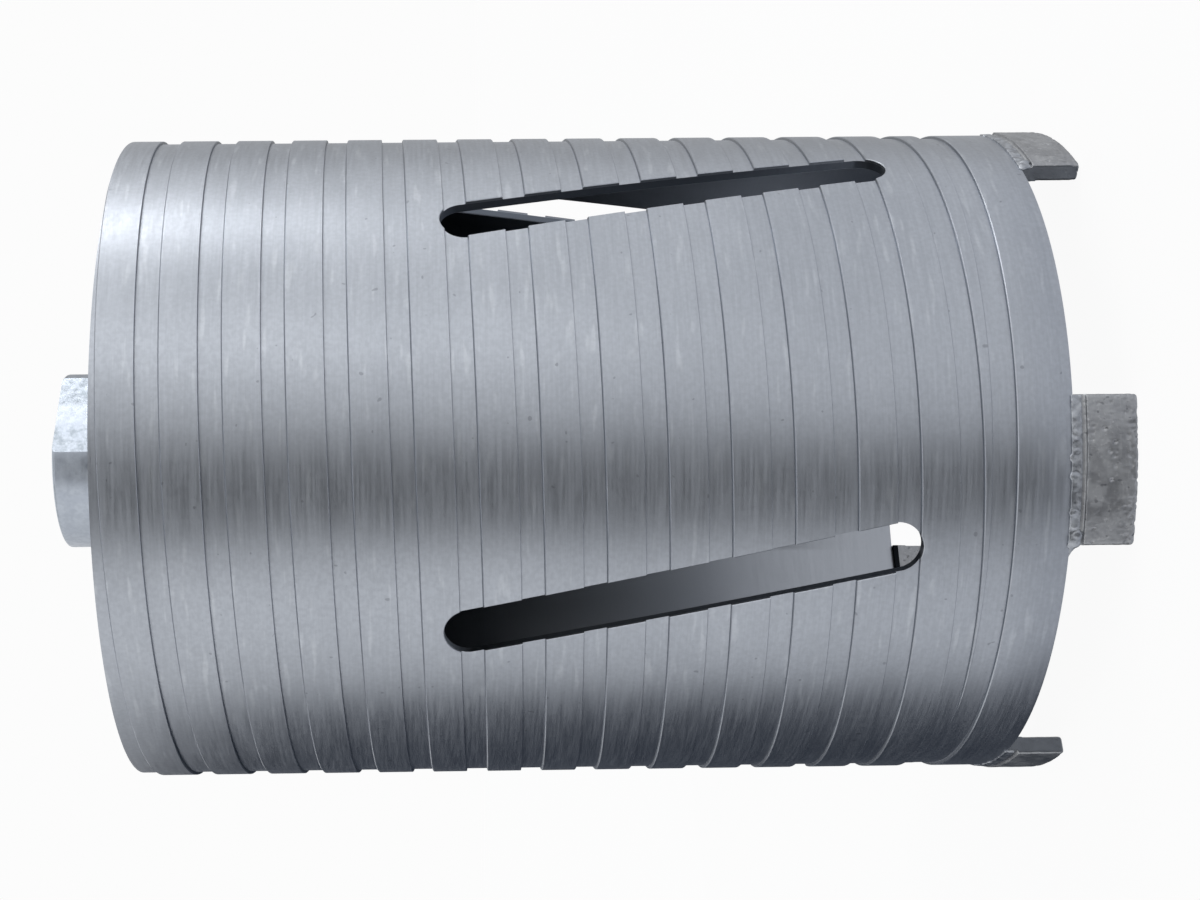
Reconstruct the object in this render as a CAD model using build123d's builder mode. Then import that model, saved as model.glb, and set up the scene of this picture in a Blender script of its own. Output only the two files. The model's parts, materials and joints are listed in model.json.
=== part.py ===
from build123d import *

import os
from math import cos, radians, sin

# A dry diamond core bit: a slotted steel barrel with a spiral chip groove, a welded end plate with a
# threaded hub, and diamond segments welded to the front rim.
#
# Frame: the bit stands on its segments. The origin is on its axis, at the level of the segments' tips.
# +Z runs up the axis to the hub. -Y is the side on which segment_1 stands. Millimetres throughout.

# ---- driving dimensions ----

# cutting ring
cut_diameter = 117.0  # over the segments
side_clearance = 0.6  # how far a segment stands out beyond the barrel
inner_clearance = 0.6  # how far it stands in beyond the barrel's bore
segment_drift = [0.0, -2.2, 0.0, 0.0, -0.4]  # degrees that each is welded out of its even place
segment_arc_length = 24.0  # along the outer face
segment_height = 10.0  # foot and diamond layer together
foot_height = 1.9  # the diamond-free foot, as thick as the barrel's wall
tip_rounding = 0.9  # the worn edges at the tip
corner_rounding = 0.5  # the upright edges of the diamond layer
first_segment_angle = -90.0  # about +Z, from +X

# barrel
barrel_length = 152.0
wall = 2.0

# spiral groove and the ring groove in which it ends
groove_pitch = 9.77
groove_width = 3.7
groove_depth = 0.5
ring_from_rim = 8.7  # plain band between the front rim and the ring groove
ring_run_out = 0.1  # the ring is wider than the spiral by this, on each side
ring_extra_depth = 0.05  # and deeper by this, so that the tool runs free
spiral_start_angle = 85.8  # where the spiral leaves the ring
cutter_overrun = 1.0  # how far cutting bodies pass beyond the metal

# slots
slot_drift = [0.2, -1.3, -0.4, -4.2, 0.0]  # degrees that each is cut out of its even place
slot_length = 76.2  # overall, along the slot
slot_width = 8.0
slot_slant = 11.7  # from the barrel's axis, against the spiral's lead
slot_middle_from_rim = 60.2  # up from the front rim
slot_lag = 19.0  # from the segment beside it to the slot's middle, about the axis

# end plate
plate_thickness = 6.0
plate_recess = 2.5  # below the barrel's rear rim
plate_fit = 0.05  # play all round in the barrel, before welding
plate_edge_chamfer = 1.0

# hub, each step of it outward from the thread
thread_bore_diameter = 18.63  # minor diameter of a G 1/2 thread
thread_mouth_chamfer = 1.685  # so that the mouth just clears the thread's major diameter
spigot_rim = 2.0  # from the thread's mouth to the spigot's outside
spigot_stand_in = 2.0  # below the end plate
spigot_fit = 0.05  # play all round in the end plate's hole
hub_shoulder = 3.0  # seat on the end plate, all round the spigot
hub_stand_out = 14.5  # beyond the barrel's rear rim
flat_depth = 2.5  # each wrench flat, which leaves 27 mm across them
flat_above_weld = 2.1  # round part left between the hub's weld and the flats
flat_angle = -48.7  # direction that the first flat faces, about +Z from +X
hub_edge_rounding = 0.6

# welds
plate_weld_leg = 2.0
plate_weld_reach = 2.6
hub_weld_leg = 2.4
bead_below_seam = 1.6
bead_above_seam = 0.6
bead_rise = 0.35
bead_end_gap = 0.4  # how far a segment's bead stops short of its end, along the rim

# ---- sizes that follow ----


def spread(start, drift):
    """Angles that share out a full turn evenly, each with its own drift."""
    return [start + 360 / len(drift) * n + error for n, error in enumerate(drift)]


cut_radius = cut_diameter / 2
barrel_radius = cut_radius - side_clearance
bore_radius = barrel_radius - wall
segment_inner_radius = bore_radius - inner_clearance

front_rim = segment_height
rear_rim = front_rim + barrel_length
foot_start = front_rim - foot_height

groove_floor_radius = barrel_radius - groove_depth
ring_start = front_rim + ring_from_rim
spiral_start = ring_start + ring_run_out
ring_width = groove_width + 2 * ring_run_out

slot_middle = front_rim + slot_middle_from_rim

plate_top = rear_rim - plate_recess
plate_bottom = plate_top - plate_thickness
plate_radius = bore_radius - plate_fit

thread_bore_radius = thread_bore_diameter / 2
thread_mouth_radius = thread_bore_radius + thread_mouth_chamfer
spigot_radius = thread_mouth_radius + spigot_rim
spigot_end = plate_bottom - spigot_stand_in
plate_hole_radius = spigot_radius + spigot_fit
hub_radius = spigot_radius + hub_shoulder
hub_end = rear_rim + hub_stand_out
flat_radius = hub_radius - flat_depth
flat_start = plate_top + hub_weld_leg + flat_above_weld

segment_half_angle = segment_arc_length / cut_radius / radians(1) / 2
bead_half_angle = segment_half_angle - bead_end_gap / barrel_radius / radians(1)
segment_angles = spread(first_segment_angle, segment_drift)
slot_angles = spread(first_segment_angle - slot_lag, slot_drift)


def outward_plane(angle, radius, height):
    """A plane that faces away from the axis, with its x direction up the axis."""
    outward = Vector(cos(radians(angle)), sin(radians(angle)), 0)
    return Plane(origin=outward * radius + Vector(0, 0, height), x_dir=(0, 0, 1), z_dir=outward)


def section_plane(angle):
    """The half-plane through the axis at an angle: x is the radius, y is the height."""
    across = (sin(radians(angle)), -cos(radians(angle)), 0)
    return Plane(origin=(0, 0, 0), x_dir=(cos(radians(angle)), sin(radians(angle)), 0), z_dir=across)


def ring_sector(inner, outer, half_angle):
    """A sector of a ring, centred on the x axis."""
    with BuildSketch() as sector:
        with BuildLine():
            inside = CenterArc((0, 0), inner, -half_angle, 2 * half_angle)
            outside = CenterArc((0, 0), outer, -half_angle, 2 * half_angle)
            Line(inside @ 0, outside @ 0)
            Line(inside @ 1, outside @ 1)
        make_face()
    return sector.sketch


# ---- barrel ----

with BuildPart() as barrel:
    with BuildSketch(Plane.XY.offset(front_rim)):
        Circle(barrel_radius)
        Circle(bore_radius, mode=Mode.SUBTRACT)
    extrude(amount=barrel_length)

    # the spiral groove, from the ring out through the rear rim
    with BuildLine() as spiral:
        spiral_height = rear_rim - spiral_start + cutter_overrun
        Helix(groove_pitch, spiral_height, groove_floor_radius, center=(0, 0, spiral_start))
    with BuildSketch(section_plane(spiral_start_angle)):
        with Locations((groove_floor_radius, spiral_start)):
            Rectangle(groove_depth + cutter_overrun, groove_width, align=(Align.MIN, Align.MIN))
    spiral_path = spiral.line.rotate(Axis.Z, spiral_start_angle)
    sweep(path=spiral_path, is_frenet=True, mode=Mode.SUBTRACT)

    # the ring groove in which the spiral ends
    with BuildSketch(Plane.XY.offset(ring_start)):
        Circle(barrel_radius + cutter_overrun)
        Circle(groove_floor_radius - ring_extra_depth, mode=Mode.SUBTRACT)
    extrude(amount=ring_width, mode=Mode.SUBTRACT)

    # the slanted slots, cut square to the wall at each slot's middle
    for angle in slot_angles:
        with BuildSketch(outward_plane(angle, segment_inner_radius / 2, slot_middle)):
            SlotOverall(slot_length, slot_width, rotation=slot_slant)
        extrude(amount=cut_radius, mode=Mode.SUBTRACT)
barrel.part.label = "barrel"

# ---- end plate ----

with BuildPart() as end_plate:
    with BuildSketch(Plane.XY.offset(plate_bottom)):
        Circle(plate_radius)
        Circle(plate_hole_radius, mode=Mode.SUBTRACT)
    extrude(amount=plate_thickness)
    rear_edges = end_plate.edges().group_by(Axis.Z)[-1]
    chamfer(rear_edges.sort_by(SortBy.RADIUS)[-1], plate_edge_chamfer)
end_plate.part.label = "end_plate"

# ---- hub ----

with BuildPart() as hub:
    with BuildSketch(section_plane(0)):
        with BuildLine():
            Polyline(
                (thread_bore_radius, spigot_end + thread_mouth_chamfer),
                (thread_mouth_radius, spigot_end),
                (spigot_radius, spigot_end),
                (spigot_radius, plate_top),
                (hub_radius, plate_top),
                (hub_radius, hub_end),
                (thread_mouth_radius, hub_end),
                (thread_bore_radius, hub_end - thread_mouth_chamfer),
                close=True,
            )
        make_face()
    revolve(axis=Axis.Z)
    end_edges = hub.edges().group_by(Axis.Z)[-1]
    fillet(end_edges.sort_by(SortBy.RADIUS)[-1], hub_edge_rounding)

    # the two wrench flats
    for side in (0, 180):
        with BuildSketch(outward_plane(flat_angle + side, flat_radius, flat_start)):
            flat_length = hub_end - flat_start + cutter_overrun
            Rectangle(flat_length, 2 * hub_radius, align=(Align.MIN, Align.CENTER))
        extrude(amount=flat_depth + cutter_overrun, mode=Mode.SUBTRACT)
hub.part.label = "hub"

# ---- welds at the rear ----

with BuildPart() as plate_weld:
    with BuildSketch(section_plane(0)):
        with BuildLine():
            foot = (bore_radius - plate_weld_reach, plate_top)
            crest = (bore_radius, plate_top + plate_weld_leg)
            Polyline(
                foot,
                (plate_radius - plate_edge_chamfer, plate_top),
                (plate_radius, plate_top - plate_edge_chamfer),
                (bore_radius, plate_top - plate_edge_chamfer),
                crest,
            )
            RadiusArc(crest, foot, plate_weld_leg * 2)
        make_face()
    revolve(axis=Axis.Z)
plate_weld.part.label = "plate_weld"

with BuildPart() as hub_weld:
    with BuildSketch(section_plane(0)):
        with BuildLine():
            foot = (hub_radius + hub_weld_leg, plate_top)
            crest = (hub_radius, plate_top + hub_weld_leg)
            Polyline(crest, (hub_radius, plate_top), foot)
            RadiusArc(foot, crest, -hub_weld_leg * 2)
        make_face()
    revolve(axis=Axis.Z)
hub_weld.part.label = "hub_weld"


# ---- segments and their welds ----


def diamond_segment(angle):
    with BuildPart() as segment:
        with BuildSketch(Plane.XY.rotated((0, 0, angle))):
            add(ring_sector(segment_inner_radius, cut_radius, segment_half_angle))
        extrude(amount=foot_start)
        fillet(segment.edges().filter_by(Axis.Z), corner_rounding)
        fillet(segment.edges().group_by(Axis.Z)[0], tip_rounding)
        with BuildSketch(Plane.XY.offset(foot_start).rotated((0, 0, angle))):
            add(ring_sector(bore_radius, barrel_radius, segment_half_angle))
        extrude(amount=foot_height)
    return segment.part


def segment_bead(angle):
    with BuildPart() as bead:
        with BuildSketch(section_plane(angle - bead_half_angle)):
            with BuildLine():
                low = (barrel_radius, front_rim - bead_below_seam)
                high = (barrel_radius, front_rim + bead_above_seam)
                crown = (barrel_radius + bead_rise, front_rim - (bead_below_seam - bead_above_seam) / 2)
                Line(low, high)
                ThreePointArc(high, crown, low)
            make_face()
        revolve(axis=Axis.Z, revolution_arc=2 * bead_half_angle)
    return bead.part


segments = [diamond_segment(angle) for angle in segment_angles]
beads = [segment_bead(angle) for angle in segment_angles]
for number, (segment, bead) in enumerate(zip(segments, beads), start=1):
    segment.label = f"segment_{number}"
    bead.label = f"segment_weld_{number}"

# ---- files ----

os.makedirs("parts", exist_ok=True)
pieces = [barrel.part, end_plate.part, hub.part, plate_weld.part, hub_weld.part]
for piece in pieces + segments + beads:
    export_step(piece, f"parts/{piece.label}.step")
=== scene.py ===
import json
from math import atan2, cos, degrees, hypot, pi, radians, sin, sqrt
from random import Random

import bmesh
import bpy
from mathutils import Matrix, Vector, noise

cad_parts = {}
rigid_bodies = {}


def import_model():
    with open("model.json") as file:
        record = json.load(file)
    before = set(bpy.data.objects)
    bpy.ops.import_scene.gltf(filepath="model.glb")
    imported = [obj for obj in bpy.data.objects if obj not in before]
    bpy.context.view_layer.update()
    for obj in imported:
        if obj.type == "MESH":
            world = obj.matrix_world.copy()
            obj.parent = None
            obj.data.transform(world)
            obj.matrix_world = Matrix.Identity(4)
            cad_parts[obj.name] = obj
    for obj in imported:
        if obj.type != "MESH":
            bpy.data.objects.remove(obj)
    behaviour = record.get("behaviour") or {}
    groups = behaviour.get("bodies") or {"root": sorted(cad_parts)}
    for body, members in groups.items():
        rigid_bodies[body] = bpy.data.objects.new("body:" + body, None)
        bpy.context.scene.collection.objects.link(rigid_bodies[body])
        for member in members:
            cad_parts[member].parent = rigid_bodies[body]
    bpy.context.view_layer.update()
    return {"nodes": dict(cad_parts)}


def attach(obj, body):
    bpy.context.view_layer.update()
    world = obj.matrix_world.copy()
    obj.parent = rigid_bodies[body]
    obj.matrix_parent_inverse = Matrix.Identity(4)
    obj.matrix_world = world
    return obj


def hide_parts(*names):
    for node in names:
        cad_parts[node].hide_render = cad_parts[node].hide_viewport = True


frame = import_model()

mm = 0.001  # sizes below are in millimetres
cutGap = 0.004  # points that a cut leaves nearer together than this are merged


def onlySelect(obj):
    bpy.ops.object.select_all(action="DESELECT")
    obj.select_set(True)
    bpy.context.view_layer.objects.active = obj


# edit mode with nothing selected
def openMesh(obj, mode="VERT"):
    onlySelect(obj)
    bpy.ops.object.mode_set(mode="EDIT")
    bpy.ops.mesh.select_mode(type=mode)
    bpy.ops.mesh.select_all(action="DESELECT")


def closeMesh():
    bpy.ops.object.mode_set(mode="OBJECT")


# selects the verts, edges or faces for which wanted is true
def choose(obj, kind, wanted):
    grid = bmesh.from_edit_mesh(obj.data)
    for item in getattr(grid, kind):
        item.select_set(wanted(item))
    grid.select_flush_mode()
    bmesh.update_edit_mesh(obj.data)


def radiusAt(point):
    return hypot(point.x, point.y) / mm


def heightAt(point):
    return point.z / mm


# the object ends at the origin, unturned and unscaled, with its place in its mesh
def settle(obj, name):
    onlySelect(obj)
    bpy.ops.object.transform_apply(location=True, rotation=True, scale=True)
    obj.name = obj.data.name = name
    return obj


def applyModifier(obj, kind, **settings):
    onlySelect(obj)
    modifier = obj.modifiers.new(kind.title(), kind)
    for key, value in settings.items():
        setattr(modifier, key, value)
    bpy.ops.object.modifier_apply(modifier=modifier.name)


def joinTo(obj, others):
    onlySelect(obj)
    for other in others:
        other.select_set(True)
    bpy.ops.object.join()


def cutAway(obj, cutter):
    applyModifier(obj, "BOOLEAN", operation="DIFFERENCE", solver="EXACT", object=cutter)
    bpy.data.objects.remove(cutter)


def faceOutwards(obj, gap=0.001):
    openMesh(obj)
    bpy.ops.mesh.select_all(action="SELECT")
    bpy.ops.mesh.remove_doubles(threshold=gap * mm)
    bpy.ops.mesh.normals_make_consistent(inside=False)
    closeMesh()


# cuts can leave crumbs behind: only what hangs together with the chosen vertices is kept
def dropCrumbs(obj, wanted):
    openMesh(obj)
    choose(obj, "verts", wanted)
    bpy.ops.mesh.select_linked()
    bpy.ops.mesh.select_all(action="INVERT")
    bpy.ops.mesh.delete(type="VERT")
    closeMesh()


def smoothByAngle(obj, angle=30):
    onlySelect(obj)
    bpy.ops.object.shade_smooth_by_angle(angle=radians(angle))


# turns a closed section, given as radius and height, round the axis, or winds it up the axis
def turnSection(name, section, startAngle=0, steps=96, rise=0, turns=1):
    bpy.ops.mesh.primitive_circle_add(vertices=len(section), radius=mm, fill_type="NOTHING")
    piece = bpy.context.object
    openMesh(piece)
    grid = bmesh.from_edit_mesh(piece.data)
    for vert, (radius, height) in zip(grid.verts, section):
        vert.co = Vector((radius * cos(radians(startAngle)), radius * sin(radians(startAngle)), height)) * mm
    bmesh.update_edit_mesh(piece.data)
    closeMesh()
    applyModifier(piece, "SCREW", axis="Z", angle=2 * pi, screw_offset=rise * mm, iterations=turns,
                  steps=steps, render_steps=steps)
    if rise:
        # the two open ends of a wound section
        for pickEnd in (min, max):
            openMesh(piece, "EDGE")
            grid = bmesh.from_edit_mesh(piece.data)
            end = pickEnd(vert.co.z for vert in grid.verts)
            reach = (max(h for r, h in section) - min(h for r, h in section) + 0.01) * mm
            choose(piece, "edges", lambda e: e.is_boundary and all(abs(v.co.z - end) < reach for v in e.verts))
            bpy.ops.mesh.edge_face_add()
            closeMesh()
    faceOutwards(piece)
    return settle(piece, name)


def copyRound(obj, name, angle):
    twin = obj.copy()
    twin.data = obj.data.copy()
    bpy.context.scene.collection.objects.link(twin)
    twin.data.transform(Matrix.Rotation(radians(angle), 4, "Z"))
    twin.name = twin.data.name = name
    return twin


def hand(piece, node):
    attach(piece, "root")
    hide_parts(node)
    print(piece.name, "done,", sum(len(p.vertices) - 2 for p in piece.data.polygons), "triangles")


# the barrel: a tube with a wound groove, a ring groove and slanted slots
barrelSizes = {
    "radius": 57.9,
    "wall": 2.0,
    "frontRim": 10.0,
    "rearRim": 162.0,
    "sides": 240,
    "rimBreak": 0.13,
    "pitch": 9.77,
    "grooveWidth": 3.7,
    "grooveDepth": 0.5,
    "grooveBreak": (0.15, 0.07),  # on the side towards the tip, and on the other
    "grooveSlope": (0.1, 0.03),
    "spiralStart": 18.8,
    "startAngle": 85.8,
    "ringStart": 18.7,
    "ringWidth": 3.9,
    "ringDepth": 0.55,
    "slotLength": 76.2,
    "slotWidth": 8.0,
    "slotSlant": 11.7,
    "slotMiddle": 70.2,
    "slotAngles": (-108.8, -38.3, 34.6, 102.8, 179.0),
    "slotBreak": 0.12,
}


def makeTube(s):
    length = s["rearRim"] - s["frontRim"]
    bpy.ops.mesh.primitive_cylinder_add(vertices=s["sides"], radius=s["radius"] * mm, depth=length * mm,
                                        end_fill_type="NGON", location=(0, 0, (s["frontRim"] + length / 2) * mm))
    tube = settle(bpy.context.object, "barrel_skin")
    openMesh(tube, "FACE")
    choose(tube, "faces", lambda f: abs(f.normal.z) > 0.9)
    bpy.ops.mesh.inset(thickness=s["wall"] * mm)
    bpy.ops.mesh.bridge_edge_loops()
    # the four rim edges are broken a little
    bpy.ops.mesh.select_mode(type="EDGE")
    choose(tube, "edges", lambda e: abs(e.verts[0].co.z - e.verts[1].co.z) < 1e-6
           and abs(radiusAt(e.verts[0].co) - radiusAt(e.verts[1].co)) < 0.1)
    bpy.ops.mesh.bevel(offset=s["rimBreak"] * mm, segments=2, profile=0.5)
    closeMesh()
    faceOutwards(tube)
    return tube


# a groove's section, with its upper corners broken and open to the outside
def grooveSection(s, low, width, depth):
    outer = s["radius"]
    lowEdge, highEdge = s["grooveBreak"]
    lowSlope, highSlope = s["grooveSlope"]
    return [
        (outer + 1, low - lowEdge - 1),
        (outer - lowEdge, low),
        (outer - depth, low + lowSlope),
        (outer - depth, low + width - highSlope),
        (outer - highEdge, low + width),
        (outer + 1, low + width + highEdge + 1),
    ]


# a long rounded peg that widens where it passes the wall's two skins
def makeSlotPeg(s, angle):
    half, run = s["slotWidth"] / 2, (s["slotLength"] - s["slotWidth"]) / 2
    outer, bore, edge = s["radius"], s["radius"] - s["wall"], s["slotBreak"]
    # each level's radius, and by how much the peg is wider there
    levels = [(bore - 2, edge), (bore, edge), (bore + edge, 0),
              (outer - edge, 0), (outer, edge), (outer + 1, edge + 1)]
    bpy.ops.mesh.primitive_circle_add(vertices=64, radius=half * mm, fill_type="NGON",
                                      location=(0, 0, levels[0][0] * mm))
    peg = settle(bpy.context.object, "slot_peg")
    openMesh(peg)
    for side in (1, -1):
        choose(peg, "verts", lambda v: v.co.x * side > 0.01 * mm)
        bpy.ops.transform.translate(value=(side * run * mm, 0, 0))
    bpy.ops.mesh.select_mode(type="EDGE")
    choose(peg, "edges", lambda e: e.calc_length() > 10 * mm)
    bpy.ops.mesh.subdivide(number_cuts=14)
    bpy.ops.mesh.select_mode(type="FACE")
    bpy.ops.mesh.select_all(action="SELECT")
    now = 0
    for level, (radius, wider) in enumerate(levels):
        if level:
            rise = (radius - levels[level - 1][0]) * mm
            bpy.ops.mesh.extrude_region_move(TRANSFORM_OT_translate={"value": (0, 0, rise)})
        grid = bmesh.from_edit_mesh(peg.data)
        for vert in [v for v in grid.verts if v.select]:
            core = Vector((max(-run, min(run, vert.co.x / mm)) * mm, 0, vert.co.z))
            vert.co += (vert.co - core).normalized() * (wider - now) * mm
        bmesh.update_edit_mesh(peg.data)
        now = wider
    closeMesh()
    # slanted, bent to the wall's curve, then stood up at its angle
    peg.data.transform(Matrix.Rotation(radians(-s["slotSlant"]), 4, "Z"))
    for vert in peg.data.vertices:
        vert.co.z = sqrt(vert.co.z**2 - vert.co.y**2)
    outward = Vector((cos(radians(angle)), sin(radians(angle)), 0))
    upright = Matrix((Vector((0, 0, 1)), outward.cross((0, 0, 1)) * -1, outward)).transposed().to_4x4()
    peg.data.transform(Matrix.Translation((0, 0, s["slotMiddle"] * mm)) @ upright)
    faceOutwards(peg)
    return peg


def makeBarrel(s):
    tube = makeTube(s)
    for angle in s["slotAngles"]:
        cutAway(tube, makeSlotPeg(s, angle))
    # the grooves' facets start at one of the tube's sides, just before the place where the spiral leaves the ring
    step = 360 / s["sides"]
    start = step * int(s["startAngle"] / step - 1)
    low = s["spiralStart"] + s["pitch"] * (start - s["startAngle"]) / 360
    cutAway(tube, turnSection("ring_tool", grooveSection(s, s["ringStart"], s["ringWidth"], s["ringDepth"]),
                              start, s["sides"]))
    cutAway(tube, turnSection("spiral_tool", grooveSection(s, low, s["grooveWidth"], s["grooveDepth"]),
                              start, s["sides"], s["pitch"], 16))
    faceOutwards(tube, cutGap)
    dropCrumbs(tube, lambda v: radiusAt(v.co) < s["radius"] - s["wall"] + 0.01)
    smoothByAngle(tube)
    return settle(tube, "barrel_skin")


barrel = makeBarrel(barrelSizes)
hand(barrel, "barrel")


# the hub: a turned nut with two wrench flats and a female pipe thread right through it
hubSizes = {
    "threadBore": 9.315,
    "threadDepth": 1.14,
    "threadPitch": 1.814,
    "toothHalf": (0.46, 0.41, 0.12, 0.04),  # half the tooth's height from root to crest, as shares of the pitch
    "mouth": 11.0,
    "spigot": 13.0,
    "spigotEnd": 151.5,
    "seat": 159.5,
    "radius": 16.0,
    "end": 176.5,
    "endRounding": 0.6,
    "flatReach": 13.5,
    "flatStart": 164.0,
    "flatAngle": -48.7,
    "edgeBreak": 0.22,
    "spigotBreak": 0.3,
    "flatTool": (10, 50, 20),
}


def makeHub(s):
    bore, mouth, low, high = s["threadBore"], s["mouth"], s["spigotEnd"], s["end"]
    lead, turn = mouth - bore, s["endRounding"]
    spigot, edge = s["spigot"], s["spigotBreak"]
    corner = [(s["radius"] - turn + turn * cos(radians(a)), high - turn + turn * sin(radians(a)))
              for a in range(0, 91, 18)]
    section = [(bore, low + lead), (mouth, low), (spigot - edge, low), (spigot, low + edge), (spigot, s["seat"]),
               (s["radius"], s["seat"])] + corner + [(mouth, high), (bore, high - lead)]
    hub = turnSection("hub_turned", section, steps=128)
    # the wrench flats, then the edges that the cuts leave are broken
    thick, wide, tall = s["flatTool"]
    for side in (0, 180):
        bpy.ops.mesh.primitive_cube_add(size=1)
        block = bpy.context.object
        block.scale = Vector((thick, wide, tall)) * mm
        block.rotation_euler.z = radians(s["flatAngle"] + side)
        outward = Vector((cos(block.rotation_euler.z), sin(block.rotation_euler.z), 0))
        block.location = (outward * (s["flatReach"] + thick / 2) + Vector((0, 0, s["flatStart"] + tall / 2))) * mm
        cutAway(hub, settle(block, "flat_tool"))
    faceOutwards(hub, cutGap)
    applyModifier(hub, "BEVEL", width=s["edgeBreak"] * mm, segments=2, limit_method="ANGLE", angle_limit=radians(40),
                  use_clamp_overlap=True)
    # the thread's tooth, cut up the bore
    deep, pitch = bore + s["threadDepth"], s["threadPitch"]
    half = list(zip((bore - 0.4, bore, deep - 0.2, deep), s["toothHalf"]))
    tooth = [(r, -share * pitch) for r, share in half] + [(r, share * pitch) for r, share in reversed(half)]
    start = low - 1.5 * pitch
    tap = turnSection("tap", [(r, z + start) for r, z in tooth], 0, 72, pitch, 16)
    cutAway(hub, tap)
    faceOutwards(hub, cutGap)
    smoothByAngle(hub, 25)
    towardsFlat = Vector((cos(radians(s["flatAngle"])), sin(radians(s["flatAngle"])), 0))
    for face in hub.data.polygons:  # plane faces stay plane beside their broken edges
        if max(abs(face.normal.dot(towardsFlat)), abs(face.normal.z)) > 0.99999:
            face.use_smooth = False
    return settle(hub, "hub_turned")


hub = makeHub(hubSizes)
hand(hub, "hub")

# the two rear welds: rings with the ripples of a torch that was fed round them
plateWeldSizes = {
    "section": [(53.35, 159.5), (54.9, 159.5), (55.9, 158.5), (55.9, 161.45), (55.4, 161.0), (54.85, 160.4),
                (54.2, 159.9)],
    "skin": (3, 4, 5, 6),  # the section's points on the weld's face
    "facing": (-0.7, 0.7),  # the way that face looks, outward and up
    "ripple": 2.3,
    "height": 0.16,
    "waviness": 0.06,
    "radius": 54.8,
}
hubWeldSizes = {
    "section": [(16.0, 159.5), (18.4, 159.5), (18.2, 160.35), (17.75, 161.1), (17.1, 161.65), (16.0, 161.9)],
    "skin": (2, 3, 4),
    "facing": (0.7, 0.7),
    "ripple": 2.0,
    "height": 0.13,
    "waviness": 0.06,
    "radius": 17.4,
}


def makeRingWeld(name, s, seed):
    count = round(2 * pi * s["radius"] / s["ripple"])
    weld = turnSection(name, s["section"], steps=count * 6)
    onSkin = [s["section"][k] for k in s["skin"]]
    chance = Random(seed)
    pools = [chance.uniform(0.6, 1.0) for n in range(count)]
    for vert in weld.data.vertices:
        around = (degrees(atan2(vert.co.y, vert.co.x)) % 360) / 360 * count
        out, high = radiusAt(vert.co), heightAt(vert.co)
        near = min(hypot(out - r, high - z) for r, z in onSkin)
        if near > 0.01:
            continue
        # each pool laps the one before it, and its edge trails at the sides
        bow = 0.5 * min(1, abs(out - s["radius"]) / 1.2) ** 2
        phase = (around + bow) % 1
        rise = (phase**0.6 * (1 - phase) ** 0.25 * 1.3 - 0.75) * s["height"] * pools[int(around + bow) % count]
        rise += s["waviness"] * noise.noise(vert.co / mm * 0.45)
        side = Vector((vert.co.x, vert.co.y, 0)).normalized()
        vert.co += (side * s["facing"][0] + Vector((0, 0, s["facing"][1]))) * rise * mm
        shrink = min(1, max(r for r, z in s["section"]) / radiusAt(vert.co))
        vert.co = Vector((vert.co.x * shrink, vert.co.y * shrink, vert.co.z))
    smoothByAngle(weld, 45)
    return weld


hand(makeRingWeld("plate_weld_bead", plateWeldSizes, 3), "plate_weld")
hand(makeRingWeld("hub_weld_bead", hubWeldSizes, 5), "hub_weld")

# the diamond segments: sintered blocks on solid feet, pitted, with crumbled edges
segmentSizes = {
    "angles": (-90.0, -20.2, 54.0, 126.0, 197.6),
    "halfAngle": 11.75,
    "inside": 55.3,
    "outside": 58.5,
    "footStart": 8.1,
    "rim": 10.0,
    "footInside": 55.33,
    "footOutside": 57.9,
    "tipRounding": 0.7,
    "cornerRounding": 0.55,
    "grain": 0.17,
    "steps": 24,
    "wave": 0.07,
    "fineWave": 0.05,
    "pitDepth": 0.2,
    "rarePitDepth": 0.12,
    "tornDepth": 0.30,
    "tornReach": 2.6,
    # how often each pattern comes round in a millimetre
    "waveRate": 0.35,
    "fineWaveRate": 2.1,
    "pitRate": 0.75,
    "pitPatchRate": 0.31,
    "tornRate": 1.3,
}


def makeBlock(name, inside, outside, low, high, halfAngle, steps):
    bpy.ops.mesh.primitive_plane_add(size=1)
    block = settle(bpy.context.object, name)
    openMesh(block)
    grid = bmesh.from_edit_mesh(block.data)
    turn = Matrix.Rotation(radians(halfAngle), 3, "Z")
    for vert in grid.verts:
        radius = outside if vert.co.x > 0 else inside
        height = high if vert.co.y > 0 else low
        vert.co = turn @ Vector((radius, 0, height)) * mm
    bmesh.update_edit_mesh(block.data)
    bpy.ops.mesh.select_all(action="SELECT")
    bpy.ops.mesh.spin(steps=steps, angle=radians(2 * halfAngle), center=(0, 0, 0), axis=(0, 0, 1))
    closeMesh()
    faceOutwards(block)
    return block


def makeSegment(s):
    half = s["halfAngle"]
    top = makeBlock("segment", s["inside"], s["outside"], 0, s["footStart"], half, s["steps"])

    def atEnd(point):
        return abs(abs(degrees(atan2(point.y, point.x))) - half) < 0.1

    openMesh(top, "EDGE")
    choose(top, "edges", lambda e: abs(e.verts[0].co.z - e.verts[1].co.z) > 1 * mm
           and all(atEnd(v.co) for v in e.verts))
    bpy.ops.mesh.bevel(offset=s["cornerRounding"] * mm, segments=3, profile=0.5)
    choose(top, "edges", lambda e: all(heightAt(v.co) < 0.01 for v in e.verts) and len(e.link_faces) == 2
           and any(abs(f.normal.z) < 0.5 for f in e.link_faces))
    bpy.ops.mesh.bevel(offset=s["tipRounding"] * mm, segments=4, profile=0.5)
    closeMesh()
    # the foot reaches a little way into the block and is then one lump with it
    foot = makeBlock("foot", s["footInside"], s["footOutside"], s["footStart"] - 1, s["rim"], half, s["steps"])
    joinTo(top, [foot])
    applyModifier(top, "REMESH", mode="VOXEL", voxel_size=s["grain"] * mm, adaptivity=0)
    return top


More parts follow.
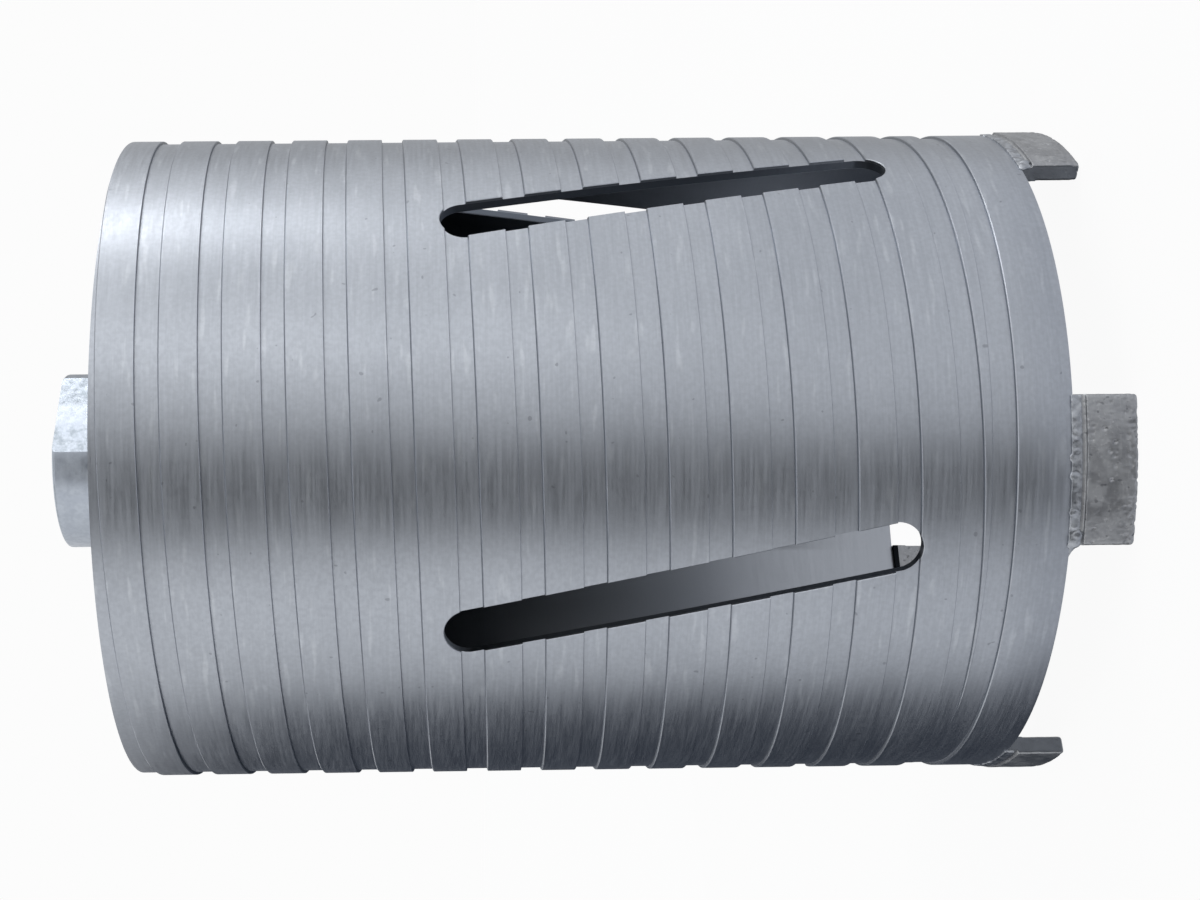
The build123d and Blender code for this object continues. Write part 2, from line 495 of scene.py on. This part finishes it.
# pits and crumbled edges only ever take metal away; each pattern is shifted, so that no two fall together
def crumble(obj, s, seed):
    shift = Vector((seed * 17.0, seed * 5.0, seed * 11.0))
    push = []
    for vert in obj.data.vertices:
        place = vert.co / mm + shift
        high = heightAt(vert.co)
        onFoot = max(0.0, min(1.0, (high - s["footStart"] + 0.3) / 0.3))
        wave = 0.5 + 0.5 * noise.noise(place * s["waveRate"])
        depth = s["wave"] * wave + s["fineWave"] * (0.5 + 0.5 * noise.noise(place * s["fineWaveRate"]))
        pit = noise.voronoi(place * s["pitRate"])[0][0]
        if noise.noise(place * s["pitPatchRate"] + Vector((9, 4, 2))) > 0.12:
            depth += s["pitDepth"] * max(0.0, 1 - pit / 0.3)
        if noise.cell(place * s["pitRate"]) > 0.4:
            depth += s["rarePitDepth"] * max(0.0, 1 - pit / 0.3)
        # grit torn out of the working edge
        tip = max(0.0, 1 - high / s["tornReach"])
        torn = max(0.0, noise.noise(place * s["tornRate"] + Vector((3, 1, 7))))
        depth += s["tornDepth"] * tip * torn * (1 if vert.normal.z < 0.9 else 0)
        push.append(vert.normal * depth * (1 - 0.75 * onFoot) * mm)
    for vert, inwards in zip(obj.data.vertices, push):
        vert.co -= inwards
        vert.co *= min(1, s["outside"] / radiusAt(vert.co))
        vert.co.z = max(0, vert.co.z)
    smoothByAngle(obj, 60)


firstSegment = makeSegment(segmentSizes)
for number, angle in enumerate(segmentSizes["angles"], start=1):
    segment = copyRound(firstSegment, f"diamond_{number}", angle)
    crumble(segment, segmentSizes, number)
    hand(segment, f"segment_{number}")
bpy.data.objects.remove(firstSegment)

# the weld that holds each segment: dabs of metal along the seam, heaped up at one corner, and on some a
# little web that runs from there down to the rim
segmentWeldSizes = {
    "halfAngle": 11.6,
    "seam": 9.6,
    "barrel": 57.9,
    "bore": 55.9,
    "strip": (8.75, 10.4),
    "stripRise": 0.24,
    "proud": 0.3,
    "dabs": 17,
    "dabRadius": 0.74,
    "flatness": 0.42,
    # dabs at the corner: degrees from the segment's end, size, rise and height
    "heap": ((0.45, 1.0, 0.5, 9.3), (1.5, 0.85, 0.52, 9.0), (-0.15, 0.7, 0.3, 9.8)),
    "webReach": 2.2,
    "webDepth": 1.5,
    "webTop": 10.08,
    "rim": 10,
    "waviness": 0.12,
    "grain": 0.12,
}


def makeDab(s, across, size, rise, height, tall):
    bpy.ops.mesh.primitive_ico_sphere_add(subdivisions=3, radius=size * mm)
    dab = bpy.context.object
    dab.scale = (s["flatness"], 1.0, tall)
    dab.rotation_euler.z = radians(across)
    out = s["barrel"] + rise - size * s["flatness"]
    dab.location = Vector((out * cos(radians(across)), out * sin(radians(across)), height)) * mm
    return settle(dab, "dab")


def makeWeb(s):
    reach = degrees(s["webReach"] / s["barrel"])
    start = s["halfAngle"] + 0.1
    web = makeBlock("web", s["bore"] + 0.15, s["barrel"] + 0.05, s["seam"], s["seam"] + 1, reach / 2, 8)
    web.data.transform(Matrix.Rotation(radians(-(start + reach / 2)), 4, "Z"))
    for vert in web.data.vertices:
        along = min(1, (abs(degrees(atan2(vert.co.y, vert.co.x))) - start) / reach)
        onTop = heightAt(vert.co) > s["seam"] + 0.5
        vert.co.z = (s["webTop"] if onTop else s["rim"] - s["webDepth"] * (1 - along) ** 2) * mm
    return settle(web, "web")


def makeSegmentWeld(s, seed, hasWeb):
    half = s["halfAngle"]
    low, high = s["strip"]
    weld = makeBlock("weld", s["barrel"] - 0.5, s["barrel"] + s["stripRise"], low, high, half, 24)
    chance = Random(seed)
    parts = []
    for n in range(1, s["dabs"]):
        across = -half + 2 * half * (n + chance.uniform(-0.3, 0.3)) / s["dabs"]
        size, rise = s["dabRadius"] * chance.uniform(0.6, 1.15), s["proud"] * chance.uniform(0.75, 1.2)
        height = s["seam"] + chance.uniform(-0.3, 0.3)
        parts.append(makeDab(s, across, size, rise, height, chance.uniform(0.8, 1.25)))
    # the torch started at one corner
    for fromEnd, size, rise, height in s["heap"]:
        parts.append(makeDab(s, -half + fromEnd, size, rise, height, 1.05))
    if hasWeb:
        parts.append(makeWeb(s))
    joinTo(weld, parts)
    applyModifier(weld, "REMESH", mode="VOXEL", voxel_size=s["grain"] * mm, adaptivity=0)
    applyModifier(weld, "SMOOTH", factor=0.5, iterations=5)
    return weld


plainWeld = makeSegmentWeld(segmentWeldSizes, 23, False)
webbedWeld = makeSegmentWeld(segmentWeldSizes, 11, True)
for number, angle in enumerate(segmentSizes["angles"], start=1):
    weld = copyRound(webbedWeld if number % 2 else plainWeld, f"weld_{number}", angle)
    for vert in weld.data.vertices:
        side = Vector((vert.co.x, vert.co.y, 0)).normalized()
        vert.co += side * segmentWeldSizes["waviness"] * noise.noise(vert.co / mm * 0.8) * mm
    smoothByAngle(weld, 60)
    hand(weld, f"segment_weld_{number}")
bpy.data.objects.remove(plainWeld)
bpy.data.objects.remove(webbedWeld)


# an sRGB hex turned into the linear colour that the shaders take
def colourOf(hexText):
    channels = [int(hexText[n : n + 2], 16) / 255 for n in (1, 3, 5)]
    return [c / 12.92 if c <= 0.04045 else ((c + 0.055) / 1.055) ** 2.4 for c in channels] + [1.0]


def addNode(tree, kind, settings={}, links={}):
    node = tree.nodes.new("ShaderNode" + kind)
    for key, value in settings.items():
        setattr(node, key, value)
    for socket, value in links.items():
        if isinstance(value, bpy.types.NodeSocket):
            tree.links.new(value, node.inputs[socket])
        else:
            node.inputs[socket].default_value = value
    return node


def startMaterial(name):
    material = bpy.data.materials.new(name)
    material.use_nodes = True
    material.node_tree.nodes.clear()
    return material, material.node_tree


# noise on the piece's own coordinates: size is the grain's length along x, y and z in millimetres
def grain(tree, size, detail=2.0, roughness=0.5, low=0.35, high=0.65):
    place = addNode(tree, "TexCoord")
    scaled = addNode(tree, "Mapping", links={"Vector": place.outputs["Object"], "Scale": [1000 / n for n in size]})
    clouds = addNode(tree, "TexNoise", links={"Vector": scaled.outputs["Vector"], "Scale": 1.0, "Detail": detail,
                                              "Roughness": roughness})
    return addNode(tree, "MapRange", {"interpolation_type": "SMOOTHSTEP"},
                   {"Value": clouds.outputs[0], "From Min": low, "From Max": high}).outputs["Result"]


def blend(tree, factor, first, second):
    def side(colour):
        return colourOf(colour) if isinstance(colour, str) else colour

    return addNode(tree, "Mix", {"data_type": "RGBA"}, {0: factor, 6: side(first), 7: side(second)}).outputs[2]


def sums(tree, operation, *values):
    return addNode(tree, "Math", {"operation": operation}, dict(enumerate(values))).outputs[0]


def between(tree, value, low, high, fromLow=0.0, fromHigh=1.0):
    return addNode(tree, "MapRange", links={"Value": value, "From Min": fromLow, "From Max": fromHigh,
                                            "To Min": low, "To Max": high}).outputs["Result"]


# how squarely a face looks away from the bit's axis, how far it is from the axis, and how high
def roundAxis(tree):
    normal = addNode(tree, "NewGeometry").outputs["True Normal"]
    place = addNode(tree, "TexCoord").outputs["Object"]
    flat = addNode(tree, "VectorMath", {"operation": "MULTIPLY"}, {0: place, 1: (1, 1, 0)}).outputs["Vector"]
    out = addNode(tree, "VectorMath", {"operation": "LENGTH"}, {0: flat}).outputs["Value"]
    outward = addNode(tree, "VectorMath", {"operation": "NORMALIZE"}, {0: flat}).outputs["Vector"]
    facing = addNode(tree, "VectorMath", {"operation": "DOT_PRODUCT"}, {0: normal, 1: outward}).outputs["Value"]
    return facing, out, addNode(tree, "SeparateXYZ", links={"Vector": place}).outputs["Z"]


def finishMaterial(tree, colour, roughness, height, bump, metallic):
    raised = addNode(tree, "Bump", links={"Height": height, "Strength": bump[0], "Distance": bump[1] * mm})
    skin = addNode(tree, "BsdfPrincipled", links={"Base Color": colour, "Roughness": roughness, "Metallic": metallic,
                                                  "Normal": raised.outputs["Normal"]})
    addNode(tree, "OutputMaterial", links={"Surface": skin.outputs["BSDF"]})


def putOn(material, *objects):
    for obj in objects:
        obj.data.materials.clear()
        obj.data.materials.append(material)


# silver lacquer sprayed on brushed steel: an even satin sheen, with the brushing's fine lines showing through
lacquerLook = {
    "pale": "#BCC1C9",
    "deep": "#A7ACB4",
    "fleck": "#CDD2D8",
    # painted shade: the grooves' sides are darkened as if in shadow
    "grooveShade": "#868B93",
    "speck": "#7E8188",
    "bore": "#B0B4BA",
    # painted shade: the bore darkens towards the rear, deep in the tube
    "boreShade": "#4C5157",
    "cutFace": "#686E77",
    "brushing": (11.0, 11.0, 0.45),  # the real brushing is near 0.1 mm, drawn coarser so that it can be seen
    "flecks": (7.0, 7.0, 1.1),
    "clouds": (38, 38, 30),
    "peel": 0.7,
    "peelTone": "#8F9298",
    "specks": 1.1,
    "middle": 86,  # half way between the rims
    "halfLength": 75.7,
    "insideSkin": 57.35,  # below the grooves' floors
    "grooveShadeBand": (57.39, 57.78),
    "boreShadeEnds": (45, 100),  # heights between which the bore darkens to a painted shade, deep in the tube
    "roughness": (0.34, 0.42),
}


def makeLacquer(look):
    material, tree = startMaterial("silver_lacquer_on_brushed_steel")
    brushing = grain(tree, look["brushing"], 4.0, 0.6, 0.25, 0.75)  # fine lines round the barrel, under the lacquer
    flecks = grain(tree, look["flecks"], 1.0, 0.4, 0.6, 0.78)  # short pale streaks where the brushing catches light
    clouds = grain(tree, look["clouds"], 2.0, 0.5, 0.3, 0.7)  # slow change where the lacquer is thicker
    peel = grain(tree, [look["peel"]] * 3, 2.0, 0.5, 0.3, 0.7)  # the sprayed lacquer's slight grain
    specks = grain(tree, [look["specks"]] * 3, 0.0, 0.5, 0.84, 0.87)  # a few dark specks
    tone = sums(tree, "MULTIPLY_ADD", brushing, 0.45, sums(tree, "MULTIPLY", clouds, 0.35))
    colour = blend(tree, tone, look["deep"], look["pale"])
    colour = blend(tree, sums(tree, "MULTIPLY", flecks, 0.4), colour, look["fleck"])
    colour = blend(tree, between(tree, peel, 0.0, 0.16), colour, look["peelTone"])
    colour = blend(tree, sums(tree, "MULTIPLY", specks, 0.5), colour, look["speck"])
    # deep in the bore the colour darkens to a painted shade, the slots' cut faces are dark with scale, and the
    # grooves' sides are darkened with painted shade
    facing, out, high = roundAxis(tree)
    fromMiddle = sums(tree, "ABSOLUTE", sums(tree, "SUBTRACT", high, look["middle"] * mm))
    betweenRims = sums(tree, "LESS_THAN", fromMiddle, look["halfLength"] * mm)
    sideways = sums(tree, "MULTIPLY", betweenRims, between(tree, sums(tree, "ABSOLUTE", facing), 1.0, 0.0, 0.35, 0.6))
    inWall = sums(tree, "LESS_THAN", out, look["insideSkin"] * mm)
    shadedGrooveSide = sums(tree, "MULTIPLY", sums(tree, "GREATER_THAN", out, look["grooveShadeBand"][0] * mm),
                    sums(tree, "LESS_THAN", out, look["grooveShadeBand"][1] * mm))
    boreShadeEnds = [height * mm for height in look["boreShadeEnds"]]
    bore = blend(tree, between(tree, high, 0.0, 1.0, *boreShadeEnds), look["bore"], look["boreShade"])
    colour = blend(tree, between(tree, facing, 1.0, 0.0, -0.9, -0.7), colour, bore)
    colour = blend(tree, sums(tree, "MULTIPLY", sideways, inWall), colour, look["cutFace"])
    # the grooves' sides get a painted shade
    colour = blend(tree, sums(tree, "MULTIPLY", sideways, shadedGrooveSide), colour, look["grooveShade"])
    roughness = sums(tree, "ADD", between(tree, brushing, *look["roughness"]), sums(tree, "MULTIPLY", peel, 0.04))
    height = sums(tree, "MULTIPLY_ADD", brushing, 0.5, sums(tree, "MULTIPLY", peel, 0.5))
    finishMaterial(tree, colour, roughness, height, (0.22, 0.02), 1.0)
    return material


# zinc plating on turned and milled steel: a cool cloudy grey, a little bluer than the lacquer
zincLook = {
    "pale": "#B7BEC8",
    "deep": "#ABB2BD",
    "stain": "#949CA6",
    "milled": "#8F979F",
    "patch": 2.6,
    "crystal": 0.8,
    "turning": (9, 9, 0.35),
    "mottle": 1.3,
    "roughness": (0.3, 0.42),
}


def makeZinc(look):
    material, tree = startMaterial("zinc_plated_steel")
    patches = grain(tree, [look["patch"]] * 3, 3.0, 0.55, 0.36, 0.64)  # cloudy plating
    crystals = grain(tree, [look["crystal"]] * 3, 1.0, 0.5, 0.4, 0.62)  # its fine bloom
    turning = grain(tree, look["turning"], 2.0, 0.5, 0.3, 0.7)  # marks of the lathe, drawn coarser than they are
    colour = blend(tree, patches, look["deep"], look["pale"])
    colour = blend(tree, sums(tree, "MULTIPLY", crystals, 0.15), colour, look["stain"])
    # the milled flats took the plating unevenly, away from their middles
    facing = roundAxis(tree)[0]
    onFlat = sums(tree, "MULTIPLY", between(tree, facing, 0.0, 1.0, 0.8, 0.84),
                  between(tree, facing, 1.0, 0.0, 0.975, 0.99))
    mottle = grain(tree, [look["mottle"]] * 3, 3.0, 0.65, 0.3, 0.7)
    colour = blend(tree, sums(tree, "MULTIPLY", onFlat, mottle), colour, look["milled"])
    unevenness = sums(tree, "MULTIPLY_ADD", patches, 0.6, sums(tree, "MULTIPLY", crystals, 0.4))
    roughness = between(tree, unevenness, *look["roughness"])
    height = sums(tree, "MULTIPLY_ADD", turning, 0.5, sums(tree, "MULTIPLY", crystals, 0.5))
    finishMaterial(tree, colour, roughness, height, (0.2, 0.02), 1.0)
    return material


# bare steel faced in a lathe: fine rings round the axis, and a straw tint where the weld's heat went
plateLook = {
    "bare": "#A8ABAF",
    "deep": "#8B8F95",
    "heat": "#9A8C78",
    "heatRing": (19.5, 6),  # its middle's radius, and its reach to each side
    "ring": 0.7,
    "stain": 9,
    "roughness": (0.3, 0.46),
}


def makePlateSteel(look):
    material, tree = startMaterial("turned_steel")
    out = roundAxis(tree)[1]
    # rings left by facing in a lathe, drawn coarser than they are
    rings = addNode(tree, "TexNoise", {"noise_dimensions": "1D"},
                    {"W": out, "Scale": 1000 / look["ring"], "Detail": 2.0}).outputs[0]
    stains = grain(tree, [look["stain"]] * 3, 3.0, 0.5, 0.4, 0.7)
    middle, reach = [size * mm for size in look["heatRing"]]
    heat = between(tree, sums(tree, "ABSOLUTE", sums(tree, "SUBTRACT", out, middle)), 0.55, 0.0, 0.0, reach)
    colour = blend(tree, rings, look["deep"], look["bare"])
    colour = blend(tree, sums(tree, "MULTIPLY", heat, stains), colour, look["heat"])
    roughness = between(tree, stains, *look["roughness"])
    finishMaterial(tree, colour, roughness, rings, (0.25, 0.03), 1.0)
    return material


# weld metal under the same lacquer: a lumpy, patchy sheen, with dark oxide in the hollows
weldLook = {
    "pale": "#B9BDC3",
    "deep": "#9DA1A8",
    "soot": "#6A6E75",
    "skin": 1.1,
    "sootSpot": 0.9,
    "roughness": (0.34, 0.5),
}


def makeWeldMetal(look):
    material, tree = startMaterial("lacquered_weld_metal")
    skin = grain(tree, [look["skin"]] * 3, 3.0, 0.6, 0.35, 0.65)  # uneven skin of the cooled metal
    soot = grain(tree, [look["sootSpot"]] * 3, 1.0, 0.5, 0.62, 0.74)  # oxide left in its hollows
    colour = blend(tree, skin, look["deep"], look["pale"])
    colour = blend(tree, sums(tree, "MULTIPLY", soot, 0.45), colour, look["soot"])
    roughness = between(tree, skin, *look["roughness"])
    finishMaterial(tree, colour, roughness, skin, (0.22, 0.04), 1.0)
    return material


# metal powder and diamond grit pressed and sintered: a dull speckled grey with holes and a few bright grains
diamondLook = {
    "matrix": "#AEB0B3",
    "deep": "#9C9EA2",
    "grit": "#C6C7C9",
    "hole": "#5E6064",
    "side": "#6B6F75",
    # painted shadow: black along the seam inside the rim, where the gap by the bore is in shade
    "scale": "#15181C",
    "castPatch": 3.5,
    "gritSize": 0.75,
    "holeSize": (0.9, 0.9, 1.2),
    "scratch": (6, 6, 0.5),
    "seamShadeRadius": 55.8,  # the painted shadow lies inside this, and above the height
    "seamShadeHeight": 8.8,
    "roughness": (0.38, 0.52),
}


def makeDiamondMatrix(look):
    material, tree = startMaterial("sintered_diamond_matrix")
    cast = grain(tree, [look["castPatch"]] * 3, 3.0, 0.6, 0.35, 0.65)  # patches of the pressed powder
    # diamonds and bright metal at the surface, drawn larger
    grit = grain(tree, [look["gritSize"]] * 3, 1.0, 0.5, 0.60, 0.72)
    holes = grain(tree, look["holeSize"], 1.0, 0.5, 0.66, 0.74)  # holes where grit fell out
    scratches = grain(tree, look["scratch"], 2.0, 0.5, 0.55, 0.8)  # faint marks round the cut
    colour = blend(tree, cast, look["deep"], look["matrix"])
    colour = blend(tree, sums(tree, "MULTIPLY", scratches, 0.3), colour, look["grit"])
    colour = blend(tree, sums(tree, "MULTIPLY", grit, 0.35), colour, look["grit"])
    colour = blend(tree, sums(tree, "MULTIPLY", holes, 0.5), colour, look["hole"])
    # the block's ends are dull from the mould, and a black painted shadow lies along the seam inside the rim, where
    # the gap by the bore falls in shade
    facing, out, high = roundAxis(tree)
    normal = addNode(tree, "NewGeometry").outputs["True Normal"]
    upright = sums(tree, "ABSOLUTE", addNode(tree, "SeparateXYZ", links={"Vector": normal}).outputs["Z"])
    atEnd = between(tree, sums(tree, "MAXIMUM", sums(tree, "ABSOLUTE", facing), upright), 1.0, 0.0, 0.4, 0.7)
    colour = blend(tree, atEnd, colour, look["side"])
    # where the painted shadow along the seam lies
    inside = sums(tree, "MULTIPLY", sums(tree, "LESS_THAN", out, look["seamShadeRadius"] * mm),
                  sums(tree, "GREATER_THAN", high, look["seamShadeHeight"] * mm))
    colour = blend(tree, inside, colour, look["scale"])
    roughness = between(tree, cast, *look["roughness"])
    height = sums(tree, "SUBTRACT", sums(tree, "MULTIPLY_ADD", cast, 0.5, grit), holes)
    finishMaterial(tree, colour, roughness, height, (0.24, 0.04), 0.95)
    return material


newPieces = [obj for obj in bpy.context.scene.objects if obj.type == "MESH" and obj.name not in frame["nodes"]]
putOn(makeLacquer(lacquerLook), barrel)
putOn(makeZinc(zincLook), hub)
putOn(makePlateSteel(plateLook), frame["nodes"]["end_plate"])
putOn(makeWeldMetal(weldLook), *[obj for obj in newPieces if "weld" in obj.name])
putOn(makeDiamondMatrix(diamondLook), *[obj for obj in newPieces if obj.name.startswith("diamond")])
print("finishes done")

# the camera looks at the bit's side, with the bit's axis lying across the frame
cameraPlace = {
    "place": (17.53, -329.49, 108.56),
    "aim": (-9.58, -0.69, 103.17),
    "top": (0.99657, 0.08199, -0.01084),
    "lens": 53.13,
    "shift": (0.112, 0.0487),
}


def makeCamera(s):
    place = Vector(s["place"]) * mm
    forward = (Vector(s["aim"]) * mm - place).normalized()
    right = forward.cross(Vector(s["top"])).normalized()
    up = right.cross(forward)
    bpy.ops.object.camera_add()
    camera = bpy.context.object
    camera.matrix_world = Matrix.Translation(place) @ Matrix((right, up, -forward)).transposed().to_4x4()
    camera.data.lens = s["lens"]
    camera.data.sensor_width = 36
    camera.data.shift_x, camera.data.shift_y = s["shift"]
    camera.data.clip_start = 0.01
    bpy.context.scene.camera = camera


makeCamera(cameraPlace)

# a pale floor, which keeps its shadow, and a white room; the metal sees only the room
studioLook = {
    "floor": "#F4F4F3",
    "floorShare": 0.94,  # how much of the floor that the camera sees is plain white
    "room": "#E4E7EB",
    "roomLight": 0.75,
    "above": "#FCFCFC",
    "below": "#D8DADF",
}


def whiteRays(tree):
    rays = addNode(tree, "LightPath")
    seen = sums(tree, "MAXIMUM", rays.outputs["Is Camera Ray"], rays.outputs["Is Glossy Ray"])
    return sums(tree, "MAXIMUM", seen, rays.outputs["Is Transmission Ray"])


def makeStudio(s):
    bpy.ops.mesh.primitive_plane_add(size=8)
    floor = settle(bpy.context.object, "floor")
    material, tree = startMaterial("pale_floor")
    matt = addNode(tree, "BsdfPrincipled", links={"Base Color": colourOf(s["floor"]), "Roughness": 0.7})
    white = addNode(tree, "Emission", links={"Color": (1, 1, 1, 1), "Strength": 1.0})
    share = sums(tree, "MULTIPLY", whiteRays(tree), s["floorShare"])
    both = addNode(tree, "MixShader", links={0: share, 1: matt.outputs["BSDF"], 2: white.outputs["Emission"]})
    addNode(tree, "OutputMaterial", links={"Surface": both.outputs["Shader"]})
    putOn(material, floor)
    floor.visible_glossy = False  # the metal looks past the floor, so the cards show along the whole barrel

    world = bpy.data.worlds.new("room")
    world.use_nodes = True
    world.node_tree.nodes.clear()
    tree = world.node_tree
    room = addNode(tree, "Background", links={"Color": colourOf(s["room"]), "Strength": s["roomLight"]})
    # the metal sees a room that is white overhead and a little dimmer low down
    high = addNode(tree, "SeparateXYZ", links={"Vector": addNode(tree, "TexCoord").outputs["Generated"]}).outputs["Z"]
    low = between(tree, high, 1.0, 0.0, -0.45, 0.0)
    dimmer = sums(tree, "MULTIPLY", low, addNode(tree, "LightPath").outputs["Is Glossy Ray"])
    white = addNode(tree, "Background", links={"Color": blend(tree, dimmer, s["above"], s["below"]), "Strength": 1.0})
    both = addNode(tree, "MixShader", links={0: whiteRays(tree), 1: room.outputs["Background"],
                                             2: white.outputs["Background"]})
    addNode(tree, "OutputWorld", links={"Surface": both.outputs["Shader"]})
    bpy.context.scene.world = world


makeStudio(studioLook)

# dark, grey and bright cards that only the metal sees; angles go round the bit's axis, from the camera's side to
# the side that is uppermost in the frame
cameraTurn = 3  # degrees by which the camera stands off the bit's front
cards = {
    "frontCard": {
        "highAngles": (-28, 9),
        "lowAngles": (-22, 0),
        "distance": 420,
        "heights": (-400, 340),
        "colour": "#5B5B5B",
        "strength": 1.0,
    },
    "stripCard": {
        "highAngles": (30, 46),
        "lowAngles": (30, 46),
        "distance": 600,
        "heights": (40, 700),
        "colour": "#FFFFFF",
        "strength": 1.7,
    },
    "underCard": {
        "highAngles": (-192, -84),
        "lowAngles": (-192, -84),
        "distance": 700,
        "heights": (-900, 235),
        "colour": "#353B46",
        "strength": 1.0,
    },
    "backCard": {
        "highAngles": (120, 170),
        "lowAngles": (120, 170),
        "distance": 700,
        "heights": (-900, 1100),
        "colour": "#BCBCBC",
        "strength": 1.0,
    },
}


def makeCard(name, s):
    bpy.ops.mesh.primitive_plane_add(size=1)
    card = settle(bpy.context.object, name)
    for vert in card.data.vertices:
        sides, height = (s["lowAngles"], s["heights"][0]) if vert.co.y < 0 else (s["highAngles"], s["heights"][1])
        angle = radians(sides[0 if vert.co.x < 0 else 1] + cameraTurn)
        vert.co = Vector((s["distance"] * sin(angle), -s["distance"] * cos(angle), height)) * mm
    material, tree = startMaterial(name)
    glow = addNode(tree, "Emission", links={"Color": colourOf(s["colour"]), "Strength": s["strength"]})
    addNode(tree, "OutputMaterial", links={"Surface": glow.outputs["Emission"]})
    putOn(material, card)
    card.visible_camera = card.visible_diffuse = card.visible_shadow = card.visible_transmission = False


for name, card in cards.items():
    makeCard(name, card)

lamps = {
    "upperSoftbox": {"place": (700, -10, 450), "aim": (0, 0, 120), "size": (160, 500), "power": 1.3},
    "lowerFill": {"place": (-500, -500, 150), "aim": (0, 0, 80), "size": (400, 400), "power": 0.1},
}


def makeLamp(name, s):
    place, aim = Vector(s["place"]) * mm, Vector(s["aim"]) * mm
    bpy.ops.object.light_add(type="AREA", location=place)
    lamp = bpy.context.object
    lamp.name = name
    lamp.rotation_euler = (aim - place).to_track_quat("-Z", "Y").to_euler()
    lamp.data.shape = "RECTANGLE"
    lamp.data.size, lamp.data.size_y = [n * mm for n in s["size"]]
    lamp.data.energy = s["power"]


for name, lamp in lamps.items():
    makeLamp(name, lamp)

bpy.context.scene.view_settings.view_transform = "Standard"
print("scene done")
